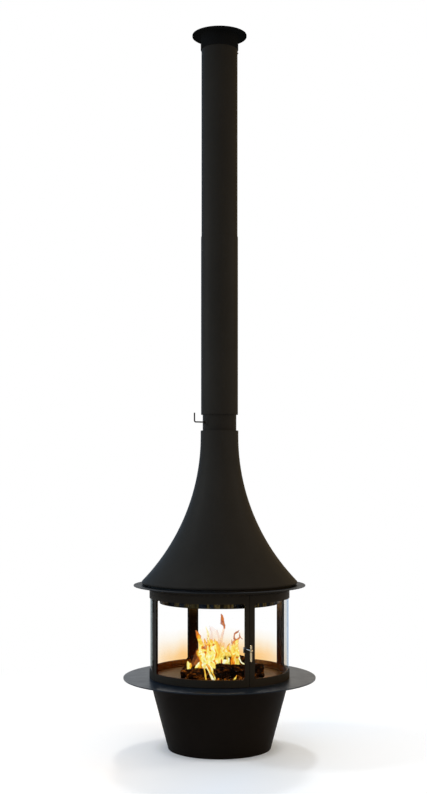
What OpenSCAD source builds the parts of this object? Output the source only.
// Central glazed fireplace: a round firebox on a conical pedestal, with a flared
// hood and a telescopic flue that ends in a ceiling rosette.
//
// Origin: centre of the floor face. +Z is up along the flue, and -Y is the front,
// where the middle of the curved door is. Bearings are in degrees from the front,
// positive towards +X. All lengths are in millimetres.

/* [Pedestal] */
// Height of the pedestal, from the floor to the underside of the hearth plate
pedestal_h = 415; // [380:1:450]
// Outer radius of the pedestal at the floor
pedestal_foot_r = 305; // [290:1:330]
// Thickness of the pedestal's rolled sheet
pedestal_wall = 3; // [2:0.5:4]
// Thickness of the floor plate inside the pedestal
base_t = 6; // [4:1:10]
// Pitch circle diameter of the floor anchors
anchor_pcd = 480; // [400:5:500]
// Diameter of each floor anchor hole
anchor_d = 12; // [8:1:16]
// Number of floor anchors
anchor_count = 4; // [3:1:8]
// Bore of the outside-air spigot in the floor plate
air_spigot_d = 100.5; // [80:0.5:120]
// Height of the outside-air spigot
air_spigot_h = 76; // [40:1:120]

/* [Hearth] */
// Radius of the round plate that stands out under the firebox
plate_r = 569; // [500:1:620]
// Thickness of the hearth plate
plate_t = 6; // [4:1:8]
// Depth of the slab tray below the top of the hearth plate
tray_depth = 18; // [14:1:24]
// Sheet thickness of the tray that holds the hearth slab
tray_t = 2.5; // [2:0.5:3]
// Thickness of the hearth slab
slab_t = 30; // [26:1:36]
// Radius of the raised middle of the slab
slab_step_r = 349; // [300:1:370]
// Height of the raised middle above the slab's rim
slab_step_h = 7; // [3:1:10]
// Width of the groove round the raised middle
slab_groove_w = 4; // [3:0.5:8]
// Radius of the round opening that the ash pan is lifted through
pan_hole_r = 112; // [100:1:125]
// Thickness of the cast grate
grate_t = 12; // [8:1:14]
// Width of the slab ledge that the grate rests on
grate_ledge = 9; // [6:1:14]
// Number of slots in the grate
grate_slots = 9; // [5:1:11]
// Outer radius of the ash well
well_r = 130; // [128:1:140]
// Depth of the ash well below the tray
well_h = 107; // [95:1:130]
// Sheet thickness of the ash well and of the air collar
well_t = 3; // [2:0.5:4]
// Sheet thickness of the ash pan
pan_t = 1.5; // [1:0.5:2.5]

/* [Air control] */
// Number of air windows round the ash well
air_windows = 6; // [4:1:6]
// Width of each air window, in degrees
air_window_deg = 26; // [18:1:28]
// Height of each air window
air_window_h = 60; // [30:1:65]
// Travel of the air lever from open to shut, in degrees
air_travel = 30; // [30:1:34]
// Bearing of the air lever when the air is fully open
air_lever_phi = -15; // [-25:1:-5]
// Width of the air lever
air_lever_w = 18; // [12:1:24]
// Radius that the air lever's knob reaches
air_lever_r = 434; // [424:1:450]

/* [Firebox] */
// Outer radius of the firebox
drum_r = 415; // [400:1:430]
// Thickness of the rolled outer sheet
sheet_t = 3; // [2:0.5:4]
// Height of the bottom rail below the windows
sill_h = 45; // [40:1:60]
// Height of the windows
window_h = 425; // [380:1:480]
// Height of the top rail above the windows
head_h = 47; // [42:1:60]
// Corner radius of the windows
window_corner_r = 14; // [8:1:20]
// Width of the fixed stile on each side of a post's centre line
fixed_stile = 33.5; // [30:0.5:40]
// Width of the door's stiles
door_stile = 25.5; // [24:0.5:28]
// Gap between the door and the fixed frame, all round
seam_gap = 3; // [2:0.5:3.5]
// Thickness of the glass
glass_t = 4; // [4:1:5]
// Thickness of the flat gasket between the glass and the sheet
gasket_t = 1; // [0.5:0.5:1.5]
// Radial depth of the posts and hoops behind the sheet
post_depth = 11.5; // [11:0.5:14]
// Half width of a post, along the drum
post_half_w = 22; // [18:1:23]
// Overlap of the sheet over the sides of the glass
glass_lap = 8; // [6:0.5:9]
// Overlap of the rails over the top and bottom of the glass
rail_lap = 14; // [10:1:18]
// Thickness of the inner strips, fire curb and header
strip_t = 3; // [2:0.5:4]
// Width of the bars down the sides of the door, inside its sheet
door_bar_w = 12; // [10:0.5:14]
// Diameter of the screws that hold the inner strips
strip_screw_d = 5; // [4:0.5:6]
// Length of the screws that hold the inner strips
strip_screw_l = 11; // [8:1:14]
// Diameter of the screws that hold the door's clamp frame
door_screw_d = 4; // [3:0.5:5]

/* [Door hinge] */
// Diameter of the hinge pins
hinge_pin_d = 6; // [5:0.5:7]
// Outer diameter of the hinge knuckles
knuckle_d = 11; // [10:0.5:11]
// Distance of the hinge axis from the door seam, along the drum
hinge_offset = 16; // [15:0.5:17]
// Height of each hinge slot in the sheet
hinge_slot_h = 74; // [60:1:90]
// Width of each hinge slot
hinge_slot_w = 26; // [24:0.5:27]
// Height of each fixed knuckle
fixed_knuckle_h = 14; // [10:1:18]
// Height of the lower hinge's middle above the hearth plate
hinge_low_z = 82; // [82:1:120]
// Distance of the upper hinge's middle below the top of the door
hinge_top_z = 85; // [82:1:120]

/* [Door handle] */
// Height of the handle spindle above the hearth plate
handle_z = 220; // [160:1:300]
// Distance of the spindle from the door's edge, along the drum
handle_inset = 23; // [21:0.5:24]
// Diameter of the handle spindle
spindle_d = 8; // [6:0.5:8]
// Diameter of the black boss on the door
boss_d = 17; // [15:0.5:20]
// Length of the boss
boss_l = 12; // [8:1:20]
// Distance of the lever from the face of the door
lever_reach = 80; // [60:1:100]
// Diameter of the lever
lever_d = 11; // [9:0.5:13]
// Length of the lever above the spindle
lever_up = 33; // [20:1:50]
// Length of the lever below the spindle
lever_down = 64; // [45:1:90]
// Diameter of the round hub of the lever
hub_d = 18; // [16:0.5:22]
// Length of the latch tongue from the spindle's axis
tongue_l = 26; // [22:1:30]
// Thickness of the latch tongue
tongue_t = 4; // [3:0.5:5]

/* [Top ring and skirt] */
// Height of the fixed ring above the door
top_ring_h = 21; // [15:1:40]
// Radius of the flat skirt ring under the hood
skirt_r = 508.5; // [480:0.5:540]
// Thickness of the skirt ring
skirt_t = 4; // [3:0.5:6]
// Outer radius of the smoke collar that hangs inside the firebox
collar_r = 355; // [330:1:370]
// Depth of the smoke collar below the skirt ring
collar_h = 102; // [60:1:110]

/* [Hood] */
// Radius of the hood at its widest, at the rolled rim
hood_r = 461; // [440:1:480]
// Radius of the rolled rim
rim_r = 10; // [8:1:14]
// Outer radius of the hood's neck
neck_r = 112; // [110:0.5:118]
// Height of the straight neck
neck_h = 34; // [20:1:60]
// Angle of the flare from upright where it meets the rim
flare_deg = 44.1; // [40:0.1:48]
// Sheet thickness of the hood
hood_t = 2.5; // [2:0.5:3]
// Height of the ring that lifts the hood off the skirt
hood_seat_h = 6.8; // [5:0.1:20]
// Radius of the smoke baffle
baffle_r = 250; // [200:1:270]
// Height of the smoke baffle above the skirt ring
baffle_z = 131; // [90:1:160]
// Thickness of the smoke baffle
baffle_t = 4; // [3:0.5:6]
// Number of baffle brackets
baffle_brackets_n = 3; // [3:1:4]

/* [Flue] */
// Outer diameter of the inner flue pipe, which holds the damper
inner_pipe_d = 200; // [190:1:202]
// Sheet thickness of the flue pipes
pipe_t = 2; // [1.5:0.5:2.5]
// Depth that the inner pipe goes into the hood
pipe_insert = 84; // [60:1:120]
// Height of the damper's axis above the hood
damper_z = 49; // [40:1:60]
// Height of the sleeve's lower edge above the hood
sleeve_gap = 95; // [80:1:120]
// Length of the sliding sleeve
sleeve_l = 1053; // [700:1:1200]
// Height that the sleeve can be pushed up
sleeve_travel = 300; // [260:10:400]
// Outer diameter of the upper flue pipe
upper_pipe_d = 214; // [211:1:216]
// Overlap of the upper pipe inside the sleeve, above the sleeve's lower edge
pipe_start = 178; // [150:1:220]
// Overall height, from the floor to the ceiling
total_h = 4222; // [3900:1:4600]

/* [Damper] */
// Diameter of the damper rod
rod_d = 8; // [6:0.5:10]
// Bearing of the damper rod's handle
rod_phi = -40; // [-90:1:90]
// Distance from the flue's axis to the upright end of the rod
rod_reach = 168; // [150:1:200]
// Height of the rod's upright end above the rod's axis
rod_tip_h = 54; // [30:1:80]
// Radius of the rod's bend, at its centre line
rod_bend_r = 9; // [7:1:16]
// Gap between the damper blade and the pipe
blade_gap = 4; // [3:0.5:8]
// Thickness of the damper blade
blade_t = 2; // [1.5:0.5:3]
// Distance of each blade screw from the flue's axis
blade_screw_x = 48; // [30:1:70]
// Diameter of the blade screws
blade_screw_d = 4; // [3:0.5:4]

/* [Ceiling rosette] */
// Radius of the rosette's flange
rosette_r = 161; // [150:1:200]
// Thickness of the rosette's flange
rosette_t = 3; // [2:0.5:6]
// Height of the rosette's turned-down edge
rosette_lip_h = 8; // [5:1:14]
// Height of the rosette's collar below the ceiling
rosette_h = 86; // [60:1:120]
// Sheet thickness of the rosette's collar
rosette_wall = 4.2; // [2:0.1:5]
// Pitch circle diameter of the ceiling screws
ceiling_pcd = 280; // [250:5:290]
// Diameter of each ceiling screw hole
ceiling_hole_d = 5.5; // [4:0.5:8]
// Number of ceiling screws
ceiling_holes = 4; // [3:1:6]
// Bore of the ceiling sleeve, which takes the next flue pipe
ceiling_sleeve_d = 201.2; // [201:0.1:203]
// Length of the ceiling sleeve
ceiling_sleeve_h = 162; // [130:1:220]
// Distance of the pipe screws below the ceiling
pipe_screw_z = 105; // [95:1:120]

/* [Firewood] */
// Turn of the log pile on the hearth, in degrees
pile_turn = 21; // [-180:1:180]
// Diameter of the lower logs
log_d = 62; // [50:1:66]
// Diameter of the thick front log
thick_log_d = 76; // [62:1:80]
// Diameter of the log on top
top_log_d = 46; // [36:1:56]

/* [Hidden] */
$fn = 96;

// Clearances
slip = 0.3;         // loose or sliding round pieces
run = 0.08;         // a pin or rod that turns in its hole
over = 1;           // how far a cut runs past a face

// Heights
plate_top = pedestal_h + plate_t;
sill_z = plate_top + sill_h;
head_z = sill_z + window_h;
drum_top = head_z + head_h;
ring_z = drum_top + 2;
skirt_z = ring_z + top_ring_h;
skirt_top = skirt_z + skirt_t;
hood_z = skirt_top + hood_seat_h;
tray_z = plate_top - tray_depth - tray_t;
slab_z = tray_z + tray_t;
slab_top = slab_z + slab_t;
well_z = tray_z - well_h - well_t;
hinge_zs = [plate_top + hinge_low_z, drum_top - hinge_top_z];
spindle_z = plate_top + handle_z;

// Radii through the firebox wall, from outside to inside
sheet_in = drum_r - sheet_t;
glass_out = sheet_in - gasket_t;
gasket_out = sheet_in - 0.1;
glass_in = glass_out - glass_t;
post_in = sheet_in - post_depth;
strip_in = post_in - strip_t;
clamp_in = post_in + 1.5;
seal_in = post_in + slip;

// Bearings: an arc length along the drum becomes an angle
function arc_deg(w) = w / drum_r * 180 / PI;
door_half = 45;
seam_deg = arc_deg(seam_gap / 2);
fixed_edge = arc_deg(fixed_stile);
door_edge = door_half - seam_deg;
door_window = door_edge - arc_deg(door_stile);
door_bar = door_edge - arc_deg(door_bar_w);
strip_edge = door_bar - 0.1;
glass_edge = fixed_edge - arc_deg(glass_lap);
post_deg = arc_deg(post_half_w);
post_gap = seam_deg + 0.3;
hinge_phi = -(door_half + arc_deg(hinge_offset));
spindle_phi = door_edge - arc_deg(handle_inset);

// Hinge
hinge_r = sheet_in - knuckle_d / 2 + 2.7;
hinge_in = hinge_r - knuckle_d / 2;
knuckle_gap = 0.8;

// Latch and screws
tongue_in = strip_in - 1.5 - tongue_t;
front_screw_phi = door_half + (post_gap + post_deg) / 2;
strip_screw_zs = [for (k = [1:3]) sill_z + window_h * k / 4];
door_screw_phis = [-(door_bar + door_edge) / 2, (door_bar + door_edge) / 2];
door_screw_zs = [for (k = [0:3]) sill_z + window_h * (0.14 + 0.24 * k)];
ring_flange_t = 3;
rail_out = rail_lap + door_bar_w;
spindle_room = 2.5;

// Hearth
plate_in = post_in - 4.5;
tray_r = plate_in - 0.5;
tray_lip_r = post_in - 0.2;
tray_lip_t = 2;
slab_r = tray_r - tray_t - 0.5;
groove_r = slab_step_r - 12;
pan_r = pan_hole_r - 8;
pan_h = well_h - 10;
grate_r = pan_hole_r + grate_ledge - slip;
grate_z = slab_top - grate_t;
well_ledge_z = well_z + well_t + 3;

// Hood: the flare is one arc that starts upright at the neck and ends at the rim
flare_end_r = hood_r - rim_r * (1 - cos(flare_deg));
flare_r = (flare_end_r - neck_r) / (1 - cos(flare_deg));
flare_end_z = hood_z + rim_r * (1 + sin(flare_deg));
flare_z = flare_end_z + flare_r * sin(flare_deg);
hood_top = flare_z + neck_h;
rim_centre = [flare_end_r - rim_r * cos(flare_deg), hood_z + rim_r];

// Flue
pipe_r = inner_pipe_d / 2;
spigot_in = pipe_r + 0.4;
spigot_out = spigot_in + 2.6;
pipe_z = hood_top - pipe_insert;
rod_z = hood_top + damper_z;
sleeve_z = hood_top + sleeve_gap;
upper_z = sleeve_z + pipe_start;
upper_r = upper_pipe_d / 2;
sleeve_in = upper_r + slip;
sleeve_wall = 2.2;
adapter_h = 60;
boss_out = pipe_r + 6;
rod_bush_r = rod_d / 2 + 3.5;
blade_r = sqrt(pow(pipe_r - pipe_t - blade_gap, 2) - pow(rod_d / 2 + blade_t, 2));
pipe_screw_phis = [111, 231];
sleeve_screw_phis = [160, 200];

// ---------- shared shapes ----------

module ring(r_in, r_out, z0, z1) {
    translate([0, 0, z0])
        difference() {
            cylinder(r = r_out, h = z1 - z0);
            translate([0, 0, -over]) cylinder(r = r_in, h = z1 - z0 + 2 * over);
        }
}

module cylinder_between(r, z0, z1) {
    translate([0, 0, z0]) cylinder(r = r, h = z1 - z0);
}

// Part of a ring between two bearings
module sector(r_in, r_out, z0, z1, phi0, phi1) {
    rotate([0, 0, phi0 - 90])
        rotate_extrude(angle = phi1 - phi0)
            translate([r_in, z0]) square([r_out - r_in, z1 - z0]);
}

// Round bar that points outwards at a bearing
module radial(phi, z, r0, r1, d) {
    rotate([0, 0, phi])
        translate([0, -r0, z])
            rotate([90, 0, 0]) cylinder(d = d, h = r1 - r0);
}

// Window opening with round corners, cut through a curved wall
module window_cut(r_in, r_out, phi0, phi1, z0, z1, corner) {
    turn = arc_deg(corner);
    sector(r_in, r_out, z0, z1, phi0 + turn, phi1 - turn);
    sector(r_in, r_out, z0 + corner, z1 - corner, phi0, phi1);
    for (phi = [phi0 + turn, phi1 - turn], z = [z0 + corner, z1 - corner])
        radial(phi, z, r_in, r_out, 2 * corner + 0.3);
}

// The three fixed windows lie between the four posts
module at_windows() {
    for (k = [1:3]) rotate([0, 0, 90 * k]) children();
}

module fixed_window_cut(r_in, r_out) {
    window_cut(r_in, r_out, fixed_edge - 45, 45 - fixed_edge, sill_z, head_z, window_corner_r);
}

// ---------- pedestal ----------

module base_plate() {
    color("#1c1c1c")
        difference() {
            cylinder(r = pedestal_foot_r - pedestal_wall - slip, h = base_t);
            translate([0, 0, -over])
                cylinder(r = air_spigot_d / 2 + pipe_t, h = base_t + 2 * over);
            for (k = [0:anchor_count - 1])
                rotate([0, 0, 45 + k * 360 / anchor_count])
                    translate([anchor_pcd / 2, 0, -over])
                        cylinder(d = anchor_d, h = base_t + 2 * over);
        }
}

module air_spigot() {
    color("#8a8d90") ring(air_spigot_d / 2, air_spigot_d / 2 + pipe_t, 0, air_spigot_h);
}

module pedestal_shell() {
    rim_h = 6;
    slot_half = air_travel / 2 + 6;
    slot_mid = air_lever_phi + air_travel / 2;
    color("#161514")
        difference() {
            union() {
                difference() {
                    cylinder(r1 = pedestal_foot_r, r2 = drum_r, h = pedestal_h);
                    translate([0, 0, -over])
                        cylinder(
                            r1 = pedestal_foot_r - pedestal_wall
                                - over * (drum_r - pedestal_foot_r) / pedestal_h,
                            r2 = drum_r - pedestal_wall
                                + over * (drum_r - pedestal_foot_r) / pedestal_h,
                            h = pedestal_h + 2 * over);
                }
                ring(plate_in + 1, drum_r - pedestal_wall, pedestal_h - rim_h, pedestal_h);
            }
            sector(plate_in - 20, drum_r + 20, tray_z - 13, tray_z + 1,
                slot_mid - slot_half, slot_mid + slot_half);
        }
}

// ---------- hearth ----------

module hearth_plate() {
    color("#2a2b2d") ring(plate_in, plate_r, pedestal_h, plate_top);
}

module hearth_tray() {
    color("#26221d") {
        ring(pan_hole_r, tray_r, tray_z, slab_z);
        ring(tray_r - tray_t, tray_r, slab_z, plate_top);
        ring(tray_r - tray_t, tray_lip_r, plate_top, plate_top + tray_lip_t);
    }
}

// Round openings in the wall of the ash well and of the collar that turns on it
module air_window_cuts(r) {
    for (k = [0:air_windows - 1])
        sector(r - 10, r + 10, well_ledge_z + 18, well_ledge_z + 18 + air_window_h,
            k * 360 / air_windows - air_window_deg / 2,
            k * 360 / air_windows + air_window_deg / 2);
}

module ash_well() {
    color("#232323")
        difference() {
            union() {
                ring(well_r - well_t, well_r, well_z, tray_z);
                ring(well_r - well_t, well_r + 20, tray_z - 3, tray_z);
                ring(well_r - well_t, well_r + 7, well_ledge_z - 3, well_ledge_z - slip);
                translate([0, 0, well_z]) cylinder(r = well_r, h = well_t);
            }
            air_window_cuts(well_r);
        }
}

module air_collar() {
    color("#303030")
        difference() {
            ring(well_r + slip, well_r + slip + well_t - 0.5, well_ledge_z, tray_z - 3.4);
            air_window_cuts(well_r);
        }
}

module air_lever() {
    bar_t = 4;
    foot_r = well_r + slip + well_t - 0.5;
    bar_z = tray_z - 9;
    knob_d = 9;
    knob_l = 16;
    color("#303030")
        rotate([0, 0, air_lever_phi]) {
            difference() {
                translate([-air_lever_w / 2, -(air_lever_r - knob_l), bar_z])
                    cube([air_lever_w, air_lever_r - knob_l - foot_r + 5, bar_t]);
                cylinder(r = foot_r, h = tray_z);
            }
            radial(0, bar_z + bar_t / 2, air_lever_r - knob_l, air_lever_r, knob_d);
        }
}

module ash_pan() {
    z = well_z + well_t + slip;
    color("#3a3a3b")
        difference() {
            union() {
                translate([0, 0, z]) cylinder(r = pan_r, h = pan_h);
                ring(pan_r - over, pan_r + 4, z + pan_h - pan_t, z + pan_h);
            }
            translate([0, 0, z + pan_t]) cylinder(r = pan_r - pan_t, h = pan_h);
            for (phi = [0, 180]) radial(phi, z + pan_h - 20, pan_r - 10, pan_r + 10, 22);
        }
}

module hearth_slab() {
    color("#6b5234")
        difference() {
            union() {
                ring(pan_hole_r, slab_r, slab_z, slab_top - slab_step_h);
                ring(pan_hole_r, slab_step_r, slab_z, slab_top);
            }
            translate([0, 0, grate_z - slip]) cylinder(r = grate_r + slip, h = grate_t + over);
            ring(groove_r - slab_groove_w, groove_r, slab_top - slab_groove_w / 2,
                slab_top + over);
        }
}

module grate() {
    rim = 12;
    pitch = 2 * (grate_r - rim) / grate_slots;
    color("#202020")
        translate([0, 0, grate_z])
            difference() {
                cylinder(r = grate_r, h = grate_t);
                intersection() {
                    translate([0, 0, -over]) cylinder(r = grate_r - rim, h = grate_t + 2 * over);
                    for (k = [0:grate_slots - 1])
                        translate([-grate_r, (k - (grate_slots - 1) / 2) * pitch - pitch / 4, -over])
                            cube([2 * grate_r, pitch / 2, grate_t + 2 * over]);
                }
            }
}

// One log that lies at a place, a turn and a height on the hearth
module log_at(x, y, turn, length, d, z) {
    translate([x, y, z + d / 2])
        rotate([0, 0, turn])
            rotate([0, 90, 0]) cylinder(d = d, h = length, center = true);
}

module firewood() {
    floor_z = slab_top + slip;
    color("#2b1a10")
        rotate([0, 0, pile_turn]) {
            log_at(-138, -178, 8, 186, log_d, floor_z);
            log_at(118, -145, 4, 292, thick_log_d, floor_z);
            log_at(-150, -20, 62, 230, log_d, floor_z);
            log_at(122, 8, -18, 250, log_d, floor_z);
            log_at(-62, -66, 75, 96, log_d * 0.8, floor_z);
            log_at(-10, 14, 3, 330, top_log_d, floor_z + log_d + slip);
        }
}

// ---------- fixed frame ----------

// Hoops between the posts carry the lower and upper edges of the fixed glass
module lower_hoop() {
    color("#1a1a1a")
        at_windows()
            sector(post_in, sheet_in, plate_top, sill_z - rail_lap, post_deg - 45, 45 - post_deg);
}

module upper_hoop() {
    color("#1a1a1a")
        at_windows()
            sector(post_in, sheet_in, head_z + rail_lap, drum_top, post_deg - 45, 45 - post_deg);
}

module fire_curb() {
    color("#4a3018") ring(strip_in, post_in, plate_top + tray_lip_t, sill_z);
}

module header_ring() {
    color("#3a342c") ring(strip_in, post_in, head_z, skirt_z - ring_flange_t);
}

// Screw heights on each post, clear of the hinges and the latch
module strip_screw_holes(phi) {
    for (z = strip_screw_zs)
        radial(phi, z, strip_in - over, strip_in + strip_screw_l + 0.5, strip_screw_d + 0.1);
}

module back_post(phi) {
    color("#141414")
        difference() {
            sector(post_in, sheet_in, plate_top, skirt_z - ring_flange_t,
                phi - post_deg, phi + post_deg);
            strip_screw_holes(phi);
        }
}

module post_back_left() { back_post(225); }
module post_back_right() { back_post(135); }

module post_front_right() {
    color("#141414")
        difference() {
            sector(post_in, sheet_in, plate_top, skirt_z - ring_flange_t,
                door_half + post_gap, door_half + post_deg);
            strip_screw_holes(front_screw_phi);
        }
}

// The hinge post is notched for the knuckles
module post_front_left() {
    color("#141414")
        difference() {
            sector(post_in, sheet_in, plate_top, skirt_z - ring_flange_t,
                -door_half - post_deg, -door_half - post_gap);
            strip_screw_holes(-front_screw_phi);
            hinge_slots(hinge_in - slip);
        }
}

// Openings for the two hinges, from a radius outwards
module hinge_slots(r) {
    for (z = hinge_zs)
        sector(r, drum_r + over, z - hinge_slot_h / 2, z + hinge_slot_h / 2,
            -door_half - arc_deg(hinge_slot_w), -door_half);
}

module frame_sheet() {
    color("#191817")
        difference() {
            sector(sheet_in, drum_r, plate_top, drum_top,
                door_half + seam_deg, 360 - door_half - seam_deg);
            at_windows() fixed_window_cut(sheet_in - over, drum_r + over);
            hinge_slots(sheet_in - over);
        }
}

module fixed_glass(turn) {
    color([0.75, 0.85, 0.85, 0.35])
        rotate([0, 0, turn])
            sector(glass_in, glass_out, sill_z - rail_lap, head_z + rail_lap,
                glass_edge - 45, 45 - glass_edge);
}

module glass_left() { fixed_glass(270); }
module glass_back() { fixed_glass(180); }
module glass_right() { fixed_glass(90); }

module glass_gaskets() {
    color("#222222")
        at_windows()
            difference() {
                sector(glass_out, gasket_out, sill_z - rail_lap, head_z + rail_lap,
                    glass_edge - 45, 45 - glass_edge);
                fixed_window_cut(glass_out - over, sheet_in + over);
            }
}

module glass_ropes() {
    rope_in = 45 - fixed_edge + 0.3;
    rope_out = 45 - post_deg - 0.1;
    color("#3d3a36")
        at_windows()
            difference() {
                sector(post_in, glass_in, sill_z - rail_lap + 1, head_z + rail_lap - 1,
                    -rope_out, rope_out);
                sector(post_in - over, glass_in + over, sill_z - 2, head_z + 2, -rope_in, rope_in);
            }
}

// Flat strips inside the posts: the back ones cover the glass edges on both sides,
// and the front ones are also what the door closes against
module inner_strips() {
    color("#2a2622") {
        for (phi = [135, 225])
            difference() {
                sector(strip_in, post_in, sill_z, head_z, phi - fixed_edge, phi + fixed_edge);
                strip_screw_holes(phi);
            }
        for (side = [-1, 1])
            difference() {
                sector(strip_in, post_in, sill_z, head_z,
                    min(side * strip_edge, side * (door_half + fixed_edge)),
                    max(side * strip_edge, side * (door_half + fixed_edge)));
                strip_screw_holes(side * front_screw_phi);
            }
    }
}

module strip_screws() {
    head_t = 2.5;
    color("#6d6d6d")
        for (phi = [-front_screw_phi, front_screw_phi, 135, 225], z = strip_screw_zs) {
            radial(phi, z, strip_in, strip_in + strip_screw_l, strip_screw_d);
            radial(phi, z, strip_in - head_t, strip_in, strip_screw_d * 1.8);
        }
}

// ---------- door ----------

// The hinge axis is upright, at hinge_r from the middle of the drum
module at_hinges() {
    for (z = hinge_zs)
        rotate([0, 0, hinge_phi]) translate([0, -hinge_r, z]) children();
}

module hinge_brackets() {
    foot = knuckle_d / 2 + slip;
    color("#0e0e0e")
        at_hinges()
            for (z0 = [-hinge_slot_h / 2, hinge_slot_h / 2 - fixed_knuckle_h])
                difference() {
                    union() {
                        translate([0, 0, z0]) cylinder(d = knuckle_d, h = fixed_knuckle_h);
                        translate([-knuckle_d / 2, 0, z0]) cube([knuckle_d, foot, fixed_knuckle_h]);
                    }
                    translate([0, 0, z0 - over])
                        cylinder(d = hinge_pin_d + run, h = fixed_knuckle_h + 2 * over);
                }
}

module hinge_pins() {
    color("#9a9a9a")
        at_hinges()
            translate([0, 0, 0.5 - hinge_slot_h / 2]) cylinder(d = hinge_pin_d, h = hinge_slot_h - 1);
}

// Everything on the door is cut round the spindle in the same way
module spindle_notch(r_in, r_out, d) {
    radial(spindle_phi, spindle_z, r_in, r_out, d);
    sector(r_in, r_out, spindle_z - d / 2, spindle_z + d / 2, spindle_phi, door_bar);
}

module door_window_cut(r_in, r_out) {
    window_cut(r_in, r_out, -door_window, door_window, sill_z, head_z, window_corner_r);
}

// One leaf of each hinge is welded to the door's edge
module door_leaves() {
    leaf_h = hinge_slot_h - 2 * (fixed_knuckle_h + knuckle_gap);
    leaf_t = 2.8;
    edge_gap = drum_r * (-hinge_phi - door_edge) * PI / 180;
    at_hinges()
        difference() {
            union() {
                translate([0, 0, -leaf_h / 2]) cylinder(d = knuckle_d, h = leaf_h);
                translate([0, -0.9, -leaf_h / 2]) cube([edge_gap + 2, leaf_t, leaf_h]);
            }
            translate([0, 0, -leaf_h]) cylinder(d = hinge_pin_d + 2 * run, h = 2 * leaf_h);
        }
}

module door_frame() {
    color("#191817")
        difference() {
            union() {
                difference() {
                    sector(sheet_in, drum_r, plate_top + seam_gap, drum_top, -door_edge, door_edge);
                    door_window_cut(sheet_in - over, drum_r + over);
                }
                difference() {
                    sector(glass_in, sheet_in, sill_z - rail_out, head_z + rail_out,
                        -door_edge, door_edge);
                    sector(glass_in - over, sheet_in + over, sill_z - rail_lap - 0.5,
                        head_z + rail_lap + 0.5, -door_bar, door_bar);
                }
                radial(spindle_phi, spindle_z, sheet_in, drum_r, boss_d);
                door_leaves();
            }
            radial(spindle_phi, spindle_z, post_in, drum_r + over, spindle_d + 2 * run);
            door_screw_holes();
        }
}

module door_glass() {
    color([0.75, 0.85, 0.85, 0.35])
        difference() {
            sector(glass_in, glass_out, sill_z - rail_lap, head_z + rail_lap,
                0.1 - door_bar, door_bar - 0.1);
            spindle_notch(glass_in - over, glass_out + over, spindle_d + 2 * spindle_room);
        }
}

module door_gasket() {
    color("#222222")
        difference() {
            sector(glass_out, gasket_out, sill_z - rail_lap, head_z + rail_lap,
                0.1 - door_bar, door_bar - 0.1);
            door_window_cut(glass_out - over, sheet_in + over);
            spindle_notch(glass_out - over, sheet_in + over, spindle_d + 2 * spindle_room);
        }
}

// Inner frame that clamps the glass against the door's sheet
module door_clamp() {
    color("#221f1b")
        difference() {
            sector(clamp_in, glass_in, sill_z - rail_out, head_z + rail_out,
                0.1 - door_edge, door_edge - 0.1);
            door_window_cut(clamp_in - over, glass_in + over);
            radial(spindle_phi, spindle_z, clamp_in - over, glass_in + over, spindle_d + 2 * spindle_room);
            door_screw_holes();
        }
}

module door_seal() {
    seal_w = door_bar_w - 2;
    seal_out = door_edge - 0.3;
    seal_low = sill_z - rail_lap - seal_w;
    seal_high = head_z + rail_lap + seal_w;
    color("#4a4742")
        difference() {
            sector(seal_in, clamp_in, seal_low, seal_high, -seal_out, seal_out);
            sector(seal_in - over, clamp_in + over, seal_low + seal_w, seal_high - seal_w,
                arc_deg(seal_w) - seal_out, seal_out - arc_deg(seal_w));
        }
}

module door_screw_holes() {
    for (phi = door_screw_phis, z = door_screw_zs) {
        radial(phi, z, clamp_in - over, sheet_in - 0.4, door_screw_d + 0.1);
        radial(phi, z, clamp_in - over, clamp_in + 2.2, door_screw_d * 1.8);
    }
}

module door_screws() {
    color("#6d6d6d")
        for (phi = door_screw_phis, z = door_screw_zs)
            union() {
                radial(phi, z, clamp_in + 0.1, sheet_in - 0.5, door_screw_d);
                radial(phi, z, clamp_in + 0.1, clamp_in + 2.1, door_screw_d * 1.75);
            }
}

// ---------- door handle ----------

module handle_boss() {
    color("#0d0d0d")
        difference() {
            radial(spindle_phi, spindle_z, drum_r, drum_r + boss_l, boss_d);
            radial(spindle_phi, spindle_z, drum_r - over, drum_r + boss_l + over,
                spindle_d + 2 * run);
        }
}

module handle_spindle() {
    color("#c9ccd0") {
        radial(spindle_phi, spindle_z, tongue_in - 2.2, drum_r + lever_reach, spindle_d);
        radial(spindle_phi, spindle_z, tongue_in - 2.2, tongue_in, spindle_d + 4);
    }
}

module handle_lever() {
    color("#c9ccd0")
        difference() {
            rotate([0, 0, spindle_phi])
                translate([0, -drum_r - lever_reach, spindle_z]) {
                    translate([0, 0, lever_d / 2 - lever_down])
                        cylinder(d = lever_d, h = lever_up + lever_down - lever_d);
                    translate([0, 0, lever_d / 2 - lever_down]) sphere(d = lever_d);
                    translate([0, 0, lever_up - lever_d / 2]) sphere(d = lever_d);
                    translate([0, -hub_d / 6, 0]) sphere(d = hub_d);
                }
            radial(spindle_phi, spindle_z, drum_r, drum_r + lever_reach, spindle_d);
        }
}

// The tongue hangs down with the lever, and a quarter turn puts it behind the strip
module latch_tongue() {
    tongue_w = 12;
    color("#9a9a9a")
        difference() {
            union() {
                radial(spindle_phi, spindle_z, tongue_in, tongue_in + tongue_t, tongue_w);
                rotate([0, 0, spindle_phi])
                    translate([-tongue_w / 2, -tongue_in - tongue_t, spindle_z - tongue_l])
                        cube([tongue_w, tongue_t, tongue_l]);
            }
            radial(spindle_phi, spindle_z, tongue_in - over, tongue_in + tongue_t + over, spindle_d);
        }
}

// ---------- top ring, skirt and hood ----------

module top_ring() {
    color("#191817") {
        ring(sheet_in, drum_r, ring_z, skirt_z);
        ring(strip_in, sheet_in, skirt_z - ring_flange_t, skirt_z);
    }
}

module smoke_collar() {
    color("#5d5240") ring(collar_r - 3, collar_r, skirt_z - collar_h, skirt_z);
}

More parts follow.
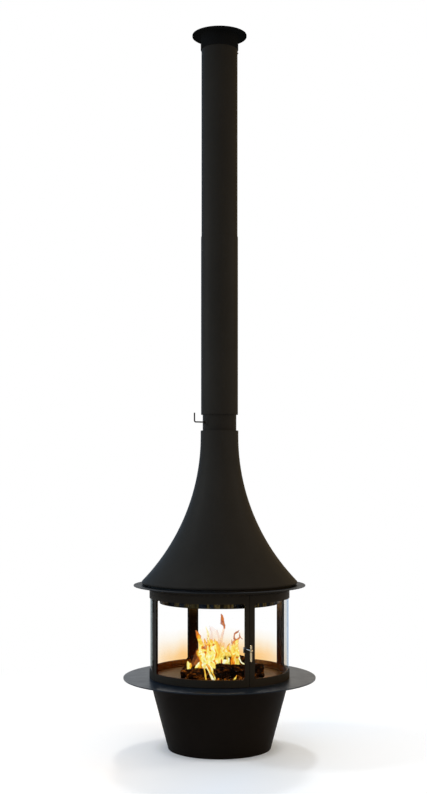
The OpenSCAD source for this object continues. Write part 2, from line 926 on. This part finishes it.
module skirt_ring() {
    color("#232425") ring(collar_r - 10, skirt_r, skirt_z, skirt_top);
}

module hood_seat() {
    color("#0c0c0c") ring(rim_centre[0] - 23, rim_centre[0] - 15, skirt_top, hood_z);
}

// Piece of a round strip of sheet, between two directions from its centre
module bent_strip(centre, r_in, r_out, from, to) {
    reach = r_out * 1.6;
    steps = 4;
    translate(centre)
        intersection() {
            difference() {
                circle(r = r_out, $fn = 360);
                circle(r = r_in, $fn = 360);
            }
            polygon(concat([[0, 0]], [for (k = [0:steps])
                let (a = from + (to - from) * k / steps) reach * [cos(a), sin(a)]]));
        }
}

module hood_profile() {
    flange_in = rim_centre[0] - 26;
    lap = 0.3;
    translate([neck_r - hood_t, flare_z - lap]) square([hood_t, neck_h + lap]);
    translate([spigot_out, hood_top - hood_t]) square([neck_r - lap - spigot_out, hood_t]);
    bent_strip([neck_r + flare_r, flare_z], flare_r, flare_r + hood_t, 180, 180 + flare_deg + 0.02);
    bent_strip(rim_centre, rim_r - hood_t, rim_r, -90, flare_deg);
    translate([flange_in, hood_z]) square([rim_centre[0] + lap - flange_in, hood_t]);
}

module hood_shell() {
    color("#1d1b19") rotate_extrude() hood_profile();
}

module smoke_baffle() {
    color("#3b3834")
        translate([0, 0, skirt_top + baffle_z]) cylinder(r = baffle_r, h = baffle_t);
}

module baffle_brackets() {
    leg_r = collar_r + 1;
    leg_w = 30;
    leg_t = 4;
    color("#3b3834")
        for (k = [0:baffle_brackets_n - 1])
            rotate([0, 0, 60 + k * 360 / baffle_brackets_n]) {
                translate([-leg_w / 2, leg_r - leg_t, skirt_top]) cube([leg_w, leg_t, baffle_z]);
                translate([-leg_w / 2, baffle_r - 14, skirt_top + baffle_z - leg_t])
                    cube([leg_w, leg_r - baffle_r + 14, leg_t]);
            }
}

// ---------- flue and damper ----------

module flue_spigot() {
    color("#1a1a1a") {
        ring(spigot_in, spigot_out, pipe_z - 3, hood_top);
        ring(pipe_r - 3, spigot_in, pipe_z - 3, pipe_z);
    }
}

module inner_pipe() {
    color("#121212")
        difference() {
            union() {
                cylinder_between(pipe_r, pipe_z, upper_z + adapter_h + 30);
                for (side = [0, 180])
                    radial(rod_phi + side, rod_z, pipe_r - over, boss_out, 2 * rod_bush_r);
            }
            cylinder_between(pipe_r - pipe_t, pipe_z - over, upper_z + adapter_h + 30 + over);
            radial(rod_phi, rod_z, -boss_out - over, boss_out + over, rod_d + 2 * run);
        }
}

// Cross holes or screws through the damper's rod and blade
module across_rod(x0, x1, d) {
    rotate([0, 0, rod_phi])
        for (y = [-blade_screw_x, blade_screw_x])
            translate([x0, y, rod_z]) rotate([0, 90, 0]) cylinder(d = d, h = x1 - x0);
}

module damper_rod() {
    collar_gap = 0.4;
    color("#0f0f0f")
        difference() {
            union() {
                radial(rod_phi, rod_z, -boss_out - 6, rod_reach - rod_bend_r, rod_d);
                radial(rod_phi, rod_z, boss_out + collar_gap, boss_out + collar_gap + 3, rod_d + 5);
                rotate([0, 0, rod_phi])
                    translate([0, rod_bend_r - rod_reach, rod_z + rod_bend_r])
                        rotate([180, 90, 0])
                            rotate_extrude(angle = 90)
                                translate([rod_bend_r, 0]) circle(d = rod_d);
                rotate([0, 0, rod_phi])
                    translate([0, -rod_reach, rod_z + rod_bend_r])
                        cylinder(d = rod_d, h = rod_tip_h - rod_bend_r);
            }
            across_rod(-rod_d, rod_d, blade_screw_d + 0.1);
        }
}

module damper_blade() {
    color("#3a3a3a")
        difference() {
            rotate([0, 0, rod_phi])
                translate([rod_d / 2, 0, rod_z])
                    rotate([0, 90, 0]) cylinder(r = blade_r, h = blade_t);
            across_rod(0, rod_d, blade_screw_d + 0.1);
        }
}

module damper_screws() {
    head_t = 2.5;
    color("#8f8f8f") {
        across_rod(-rod_d / 2 - head_t, rod_d / 2 + blade_t + head_t, blade_screw_d);
        across_rod(rod_d / 2 + blade_t, rod_d / 2 + blade_t + head_t, blade_screw_d * 2);
        across_rod(-rod_d / 2 - head_t, -rod_d / 2, blade_screw_d * 1.8);
    }
}

module damper_clip() {
    clip_gap = 0.4;
    color("#8f8f8f")
        difference() {
            radial(rod_phi + 180, rod_z, boss_out + clip_gap, boss_out + clip_gap + 2, rod_d + 5);
            radial(rod_phi + 180, rod_z, boss_out - over, boss_out + 6, rod_d);
        }
}

module flue_adapter() {
    color("#1a1a1a") {
        ring(pipe_r + 0.1, upper_r - pipe_t - 0.2, upper_z - 10, upper_z + adapter_h - 10);
        ring(pipe_r + over, upper_r, upper_z - 10, upper_z);
    }
}

module flue_sleeve() {
    color("#1d1b19")
        difference() {
            ring(sleeve_in, sleeve_in + sleeve_wall, sleeve_z, sleeve_z + sleeve_l);
            for (phi = sleeve_screw_phis)
                radial(phi, sleeve_z + sleeve_l - 15, sleeve_in - over,
                    sleeve_in + sleeve_wall + over, 5.1);
        }
}

module sleeve_screws() {
    z = sleeve_z + sleeve_l - 15;
    color("#8f8f8f")
        for (phi = sleeve_screw_phis) {
            radial(phi, z, sleeve_in + 0.1, sleeve_in + sleeve_wall + over, 5);
            radial(phi, z, sleeve_in + sleeve_wall, sleeve_in + sleeve_wall + 6, 10);
        }
}

module pipe_screw_holes() {
    for (phi = pipe_screw_phis)
        radial(phi, total_h - pipe_screw_z, ceiling_sleeve_d / 2 + 2, upper_r + over, 4.1);
}

module upper_pipe() {
    color("#1d1b19")
        difference() {
            ring(upper_r - pipe_t, upper_r, upper_z, total_h);
            pipe_screw_holes();
        }
}

module ceiling_sleeve() {
    wall = 2;
    bead_r = upper_r - pipe_t - 0.2;
    bead_h = 20;
    color("#8a8d90")
        difference() {
            union() {
                ring(ceiling_sleeve_d / 2, ceiling_sleeve_d / 2 + wall,
                    total_h - ceiling_sleeve_h, total_h);
                for (z = [total_h - pipe_screw_z, total_h - bead_h])
                    ring(ceiling_sleeve_d / 2 + wall / 2, bead_r, z - bead_h / 2, z + bead_h / 2);
            }
            pipe_screw_holes();
        }
}

module pipe_screws() {
    color("#3a3a3a")
        for (phi = pipe_screw_phis) {
            radial(phi, total_h - pipe_screw_z, ceiling_sleeve_d / 2 + 2.1, upper_r + over, 4);
            radial(phi, total_h - pipe_screw_z, upper_r, upper_r + 4.5, 9);
        }
}

module ceiling_rosette() {
    color("#0b0b0b")
        difference() {
            union() {
                ring(sleeve_in, sleeve_in + rosette_wall, total_h - rosette_h, total_h);
                ring(sleeve_in, rosette_r, total_h - rosette_t, total_h);
                ring(rosette_r - rosette_t, rosette_r, total_h - rosette_lip_h, total_h);
            }
            for (k = [0:ceiling_holes - 1])
                rotate([0, 0, 45 + k * 360 / ceiling_holes])
                    translate([ceiling_pcd / 2, 0, total_h - rosette_t - over])
                        cylinder(d = ceiling_hole_d, h = rosette_t + 2 * over);
        }
}

base_plate();
air_spigot();
pedestal_shell();
hearth_plate();
hearth_tray();
ash_well();
air_collar();
air_lever();
ash_pan();
hearth_slab();
grate();
firewood();
lower_hoop();
upper_hoop();
fire_curb();
header_ring();
post_front_left();
post_front_right();
post_back_left();
post_back_right();
frame_sheet();
glass_left();
glass_back();
glass_right();
glass_gaskets();
glass_ropes();
inner_strips();
strip_screws();
hinge_brackets();
hinge_pins();
door_frame();
door_glass();
door_gasket();
door_clamp();
door_seal();
door_screws();
handle_boss();
handle_spindle();
handle_lever();
latch_tongue();
top_ring();
smoke_collar();
skirt_ring();
hood_seat();
hood_shell();
smoke_baffle();
baffle_brackets();
flue_spigot();
inner_pipe();
damper_rod();
damper_blade();
damper_screws();
damper_clip();
flue_adapter();
flue_sleeve();
sleeve_screws();
upper_pipe();
ceiling_sleeve();
pipe_screws();
ceiling_rosette();
